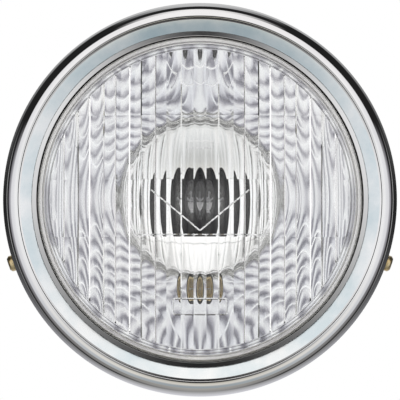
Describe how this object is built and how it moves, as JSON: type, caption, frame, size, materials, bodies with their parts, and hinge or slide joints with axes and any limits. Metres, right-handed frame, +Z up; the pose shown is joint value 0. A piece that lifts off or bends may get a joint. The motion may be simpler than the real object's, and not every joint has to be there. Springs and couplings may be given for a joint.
{
  "type": "motorcycle headlight",
  "caption": "Round motorcycle headlight with a chromed steel rim, a domed fluted glass, a mirror with a bulb, and a black steel bucket bolted by its sides.",
  "frame": {"origin": "on the lamp's axis where the line through the two side bolts crosses it, which is also the centre of the overall box", "axes": "the light shines towards -Y, +X points at the right side bolt, +Z is up"},
  "size_m": [0.186, 0.14, 0.186],
  "materials": {
    "chrome": "polished",
    "glass": "clear",
    "mirror": "polished",
    "black_paint": "gloss",
    "zinc": "satin",
    "steel": "satin",
    "wire": "satin",
    "brass": "satin",
    "rubber": "matte",
    "sealant": "matte",
    "insulator": "matte"
  },
  "bodies": {
    "root": {"rim": "chrome", "rim_hook": "steel", "ring_tabs": "steel", "unit_ring": "steel", "unit_ring_screws": "zinc", "lens": "glass", "lens_gasket": "rubber", "lens_seal": "sealant", "reflector": "mirror", "bulb_glass": "glass", "bulb_filaments": "wire", "bulb_shield": "wire", "bulb_supports": "wire", "bulb_cap": "steel", "bulb_base": "insulator", "bulb_blades": "steel", "bulb_clip": "steel", "bulb_boot": "rubber", "pilot_bulb_glass": "glass", "pilot_filament": "wire", "pilot_bulb_cap": "brass", "pilot_holder": "brass", "pilot_grommet": "rubber", "bucket": "black_paint", "rim_screw_left": "zinc", "rim_screw_right": "zinc", "rim_washer_left": "zinc", "rim_washer_right": "zinc", "rim_nut_left": "zinc", "rim_nut_right": "zinc", "mount_nut_left": "zinc", "mount_nut_right": "zinc", "cable_grommet": "rubber"}
  },
  "joints": []
}
